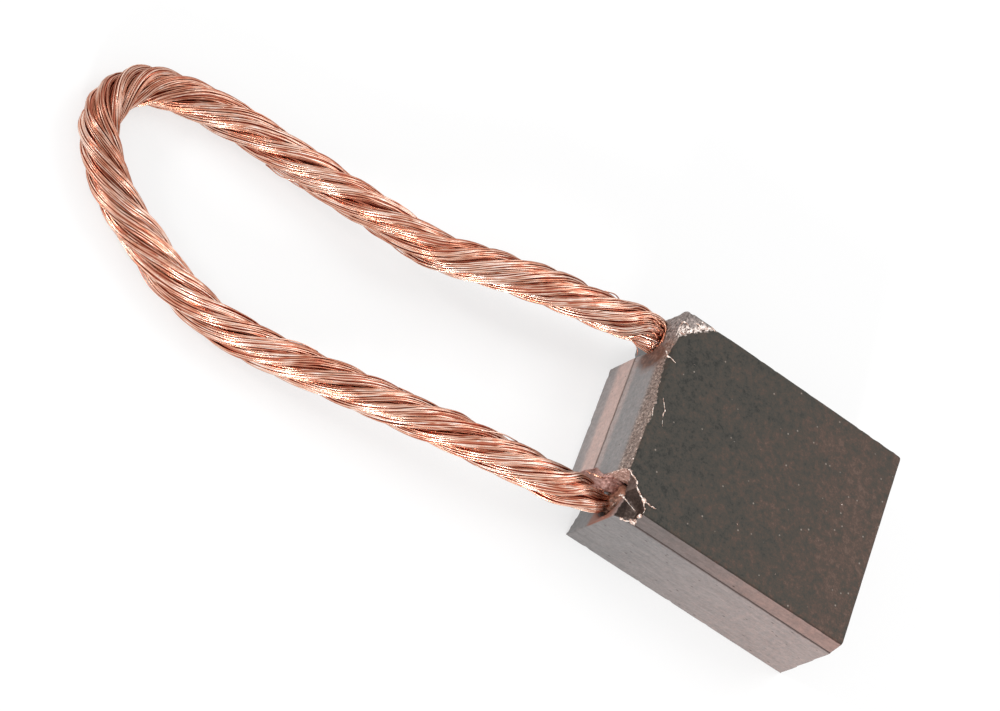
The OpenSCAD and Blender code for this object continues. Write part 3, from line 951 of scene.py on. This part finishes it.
def pressed_carbon():
    """Copper and graphite powder, pressed and fired: grey with a metal sheen where the die or the box rubbed
    it, pinker where copper shows, under a dark granular skin on top."""
    material, tree = new_material("pressed_copper_graphite")
    names = ("skin", "grain", "flaked", "bright", "pink", "bevel", "side", "end", "facet")
    names += ("broken", "light", "brown_patch", "smear")
    mm, field = laid_out(tree, *names)
    axis = add(tree, "SeparateXYZ", Vector=mm)
    broad = add(tree, "TexNoise", Vector=mm, Scale=CLOUDS, Detail=4.0, Roughness=0.6)
    mottle = add(tree, "TexNoise", Vector=mm, Scale=MOTTLE, Detail=5.0, Roughness=0.7)
    grit = add(tree, "TexNoise", Vector=mm, Scale=GRIT, Detail=3.0, Roughness=0.7)
    lengthwise = add(tree, "Mapping", Vector=mm, Scale=RUBBING)
    streak = add(tree, "TexNoise", Vector=lengthwise, Scale=1.0, Detail=3.0, Roughness=0.65)

    # rubbed faces: grey to pink, streaked lengthwise
    pink_at = add(tree, "Math", TIMES_PLUS, i0=mottle, i1=0.9, i2=field["pink"])
    pinkness = add(tree, "MapRange", Value=pink_at, From_Min=0.4, From_Max=1.5)
    rubbed_shades = [(0, "#888787"), (0.4, "#9A9290"), (1, "#C4AAA2")]
    rubbed = add(tree, "ValToRGB", stops=rubbed_shades, Fac=pinkness)
    speck = add(tree, "Math", TIMES_PLUS, i0=grit, i1=0.8, i2=streak)
    shade = add(tree, "MapRange", Value=speck, From_Min=0.62, From_Max=1.18, To_Min=0.8, To_Max=1.16)
    rubbed = add(tree, "Mix", TINT, i0=1.0, i6=rubbed, i7=shade).outputs[2]

    # granular band: crumbs of copper and carbon
    shades = [(0.33, "#463B35"), (0.44, "#74645B"), (0.55, "#94827A"), (0.66, "#B7A599"), (0.74, "#E6DAD0")]
    crumbs = add(tree, "ValToRGB", stops=shades, Fac=grit)
    # corner where the skin has flaked off: grey metal with bright grains
    shades = [(0.36, "#554B46"), (0.46, "#7C726E"), (0.58, "#978B87"), (0.68, "#C4B0A7")]
    sparkle = add(tree, "ValToRGB", stops=shades, Fac=grit)
    # bright grains and dark pores where the skin has just broken away, the palest of them a painted glint
    # along the edge
    shades = [(0.4, "#3E302B"), (0.46, "#A5938A"), (0.52, "#F6E4DA"), (0.6, "#FFF8F3")]
    gleam = add(tree, "ValToRGB", stops=shades, Fac=grit)
    # pink wall of the notch: copper-rich grains
    shades = [(0.34, "#7A5A50"), (0.46, "#AC8A7E"), (0.58, "#C5A498"), (0.7, "#F6E4DA")]
    grains = add(tree, "ValToRGB", stops=shades, Fac=grit)

    # dark skin of the top face: greenish black at the flexible end and redder towards the wear end
    x = axis.outputs["X"]
    warm = add(tree, "MapRange", Value=x, From_Min=-10.0, From_Max=11.0, To_Min=-0.45, To_Max=-0.2)
    tone = add(tree, "Math", TIMES_PLUS, i0=mottle, i1=1.0, i2=warm)
    tone = add(tree, "Math", TIMES_PLUS, i0=broad, i1=0.5, i2=tone)
    tone = add(tree, "Math", TIMES_PLUS, i0=grit, i1=0.6, i2=tone)
    shades = [(0.42, "#292825"), (0.6, "#3C3A35"), (0.76, "#463E37"), (0.9, "#53423A"), (1.0, "#5F4D44")]
    skin = add(tree, "ValToRGB", stops=shades, Fac=tone)
    ragged = add(tree, "MapRange", Value=mottle, From_Min=0.3, From_Max=0.7, To_Min=-0.25, To_Max=0.25)
    reach = add(tree, "Math", {"operation": "ADD"}, i0=field["skin"], i1=ragged)
    skinned = add(tree, "MapRange", Value=reach, From_Min=-0.04, From_Max=0.04)

    # broken corner: fresh dark carbon, with painted light and shade that make it lighter in the hollow and up
    # the ledge
    break_at = add(tree, "Math", TIMES_PLUS, i0=field["light"], i1=1.0, i2=grit)
    shades = [(0.4, "#261D1A"), (0.62, "#372B26"), (0.84, "#4A3D37"), (1.0, "#6A5C56")]
    fracture = add(tree, "ValToRGB", stops=shades, Fac=break_at)

    # painted shade along the creases left where the faces were pressed and cut, wandering a little
    wobble = add(tree, "Math", TIMES_PLUS, i0=mottle, i1=0.16, i2=axis.outputs["Z"])
    crease_shades = []
    for height, where in ((SIDE_CREASE + 0.08, "side"), (END_PARTING + 0.08, "end")):
        off = add(tree, "Math", {"operation": "SUBTRACT"}, i0=wobble, i1=height)
        off = add(tree, "Math", {"operation": "ABSOLUTE"}, i0=off)
        near = add(tree, "MapRange", Value=off, From_Min=0.07, From_Max=0.16, To_Min=0.9, To_Max=0.0)
        crease_shades.append(add(tree, "Math", {"operation": "MULTIPLY"}, i0=near, i1=field[where]))

    # pits in the rubbed faces, and light specks of copper in the skin: each is solid out to one distance from
    # its middle, in cells, and gone at the next; the last value sets how many cells stay empty
    drawn_out = add(tree, "Mapping", Vector=mm, Scale=(0.9, 2.0, 2.0))
    pit = add(tree, "TexVoronoi", Vector=drawn_out, Scale=PITS)
    fleck = add(tree, "TexVoronoi", Vector=mm, Scale=FLECKS)
    marks = []
    for cells, solid, gone, empty in ((pit, 0.04, 0.14, 0.62), (fleck, 0.05, 0.12, 0.5)):
        near = add(tree, "MapRange", Value=cells, From_Min=solid, From_Max=gone, To_Min=1.0, To_Max=0.0)
        kept = add(tree, "Math", {"operation": "GREATER_THAN"}, i0=cells.outputs["Color"], i1=empty)
        marks.append(add(tree, "Math", {"operation": "MULTIPLY"}, i0=near, i1=kept))

    # brown patch on the end under the notch, broken up in blotches
    patch_at = add(tree, "Math", TIMES_PLUS, i0=mottle, i1=0.9, i2=field["brown_patch"])
    in_patch = add(tree, "MapRange", Value=patch_at, From_Min=0.65, From_Max=1.25, To_Max=0.95)
    shades = [(0.35, "#4E3B34"), (0.5, "#64463B"), (0.68, "#86685B")]
    patch_shades = add(tree, "ValToRGB", stops=shades, Fac=mottle)

    # finishes laid over each other, each where its mask says
    speckled = add(tree, "Mix", BLEND, i0=marks[1], i6=skin, i7=linear("#8D8279")).outputs[2]
    colour = rubbed
    for mask, finish in (
        (marks[0], linear("#5E5654")),
        (crease_shades[0], linear("#564B48")),
        (crease_shades[1], linear("#6E5F58")),
        (field["grain"], crumbs),
        (field["flaked"], sparkle),
        (field["bright"], gleam),
        (skinned, speckled),
        (field["facet"], grains),
        (field["broken"], fracture),
        (in_patch, patch_shades),
        (field["smear"], linear("#96695A")),
    ):
        colour = add(tree, "Mix", BLEND, i0=mask, i6=colour, i7=finish).outputs[2]
    # painted shade: the -Y side and its bevel are drawn a little darker than the end, against the stronger
    # lamp light on them
    for mask, tint in ((field["side"], "#ECE6E4"), (field["bevel"], "#D9CFCC")):
        colour = add(tree, "Mix", TINT, i0=mask, i6=colour, i7=linear(tint)).outputs[2]
    height = add(tree, "Math", TIMES_PLUS, i0=grit, i1=0.6, i2=mottle)
    bump = add(tree, "Bump", Height=height, Strength=0.35, Distance=BUMP)
    rough = add(tree, "MapRange", Value=skinned, To_Min=0.45, To_Max=0.62)
    metal = add(tree, "MapRange", Value=skinned, To_Min=0.3, To_Max=0.0)
    sheen = {"Metallic": metal, "Roughness": rough, "Specular_IOR_Level": 0.2}
    shader = add(tree, "BsdfPrincipled", Base_Color=colour, Normal=bump, **sheen)
    add(tree, "OutputMaterial", Surface=shader)
    return material


def burnished_burr():
    """Turned-up edges of the pressed powder, rubbed bright: pale pinkish metal with darker grains, its palest
    grains near white as painted glints along the edges.
    """
    material, tree = new_material("burnished_burr")
    mm, _ = laid_out(tree)
    grit = add(tree, "TexNoise", Vector=mm, Scale=BURR_GRIT, Detail=3.0, Roughness=0.7)
    shades = [(0.38, "#6E4E42"), (0.47, "#BF9A8A"), (0.55, "#F3E0D4"), (0.66, "#FFFAF5")]
    colour = add(tree, "ValToRGB", stops=shades, Fac=grit)
    bump = add(tree, "Bump", Height=grit, Strength=0.5, Distance=BURR_BUMP)
    shader = add(tree, "BsdfPrincipled", Base_Color=colour, Metallic=0.4, Roughness=0.35, Normal=bump)
    add(tree, "OutputMaterial", Surface=shader)
    return material


def smeared_copper(name, thin, middle, thick, metallic):
    """Copper rubbed into carbon powder: matt and granular, brown where it is thin and pink where thick."""
    material, tree = new_material(name)
    mm, field = laid_out(tree, "pale")
    grit = add(tree, "TexNoise", Vector=mm, Scale=SMEAR_GRIT, Detail=4.0, Roughness=0.7)
    tone = add(tree, "Math", TIMES_PLUS, i0=field["pale"], i1=0.2, i2=grit)
    colour = add(tree, "ValToRGB", stops=[(0.36, thin), (0.52, middle), (0.78, thick)], Fac=tone)
    bump = add(tree, "Bump", Height=grit, Strength=0.5, Distance=BUMP)
    shader = add(tree, "BsdfPrincipled", Base_Color=colour, Metallic=metallic, Roughness=0.45, Normal=bump)
    add(tree, "OutputMaterial", Surface=shader)
    return material


# ---------------- floor and light

PAPER_GLOW = 0.65  # share of plain white in the paper, for rays that show it
WORLD_LIGHT = 0.8  # strength of the world as a light; where it shows, it is plain white

# Each lamp: its name, its place and size in metres, and its watts. All of them face the block.
LAMPS = [
    ("key", (0.02, -0.5, 0.17), 0.09, 1.35),
    ("side", (-0.5, -0.05, 0.22), 0.1, 0.8),
    ("fill", (0.3, 0.3, 0.55), 0.4, 1.2),
]


def seen_rays(tree):
    """1 for rays that show the setting itself: direct, in a reflection or through something."""
    rays = add(tree, "LightPath")
    seen = rays.outputs["Is Camera Ray"]
    for kind in ("Is Transmission Ray", "Is Glossy Ray"):
        seen = add(tree, "Math", {"operation": "MAXIMUM"}, i0=seen, i1=rays.outputs[kind])
    return seen


def floor_paper():
    """White paper: matt, nearly white where it is seen direct or in a reflection, with the shadow kept."""
    material, tree = new_material("white_paper")
    matt = add(tree, "BsdfDiffuse", Color=linear("#F4F4F4"))
    white = add(tree, "Emission", Color=(1, 1, 1, 1), Strength=1.0)
    seen = add(tree, "Math", {"operation": "MULTIPLY"}, i0=seen_rays(tree), i1=PAPER_GLOW)
    paper = add(tree, "MixShader", i0=seen, i1=matt.outputs[0], i2=white.outputs[0])
    add(tree, "OutputMaterial", Surface=paper.outputs[0])
    return material


def make_floor():
    bpy.ops.object.select_all(action="DESELECT")
    bpy.ops.mesh.primitive_plane_add(size=2, location=(0, 0, 0))
    floor = bpy.context.object
    floor.name = "floor"
    floor.data.materials.append(floor_paper())


def make_lamp(name, place, size, watts):
    data = bpy.data.lights.new(name, "AREA")
    data.shape = "DISK"
    data.size = size
    data.energy = watts
    light = bpy.data.objects.new(name, data)
    light.location = place
    light.rotation_mode = "QUATERNION"
    light.rotation_quaternion = (-Vector(place)).to_track_quat("-Z", "Y")
    bpy.context.scene.collection.objects.link(light)


def make_light():
    world = bpy.data.worlds.new("studio")
    bpy.context.scene.world = world
    world.use_nodes = True
    tree = world.node_tree
    tree.nodes.clear()
    strength = add(tree, "MapRange", Value=seen_rays(tree), To_Min=WORLD_LIGHT, To_Max=1.0)
    back = add(tree, "Background", Color=(1, 1, 1, 1), Strength=strength)
    add(tree, "OutputWorld", Surface=back)
    for one in LAMPS:
        make_lamp(*one)
    bpy.context.scene.view_settings.view_transform = "Standard"


def finish(piece, material):
    """Gives a piece its one material."""
    piece.data.materials.clear()
    piece.data.materials.append(material)


make_floor()
make_light()
copper = bare_copper()
for piece in make_flexible():
    finish(piece, copper)
finish(make_block(), pressed_carbon())
burr = burnished_burr()
finish(threads("break_burrs", BREAK_BURRS), burr)
finish(threads("top_burrs", TOP_BURRS), burr)
finish(threads("frayed_wires", FRAYED_WIRES), copper)
finish(entry_lump(), smeared_copper("smeared_copper", "#3A2218", "#7E5340", "#BE8A74", 0.25))
finish(flattened_strand(), smeared_copper("flattened_copper", "#7E564C", "#B98C82", "#E0BEB4", 0.5))
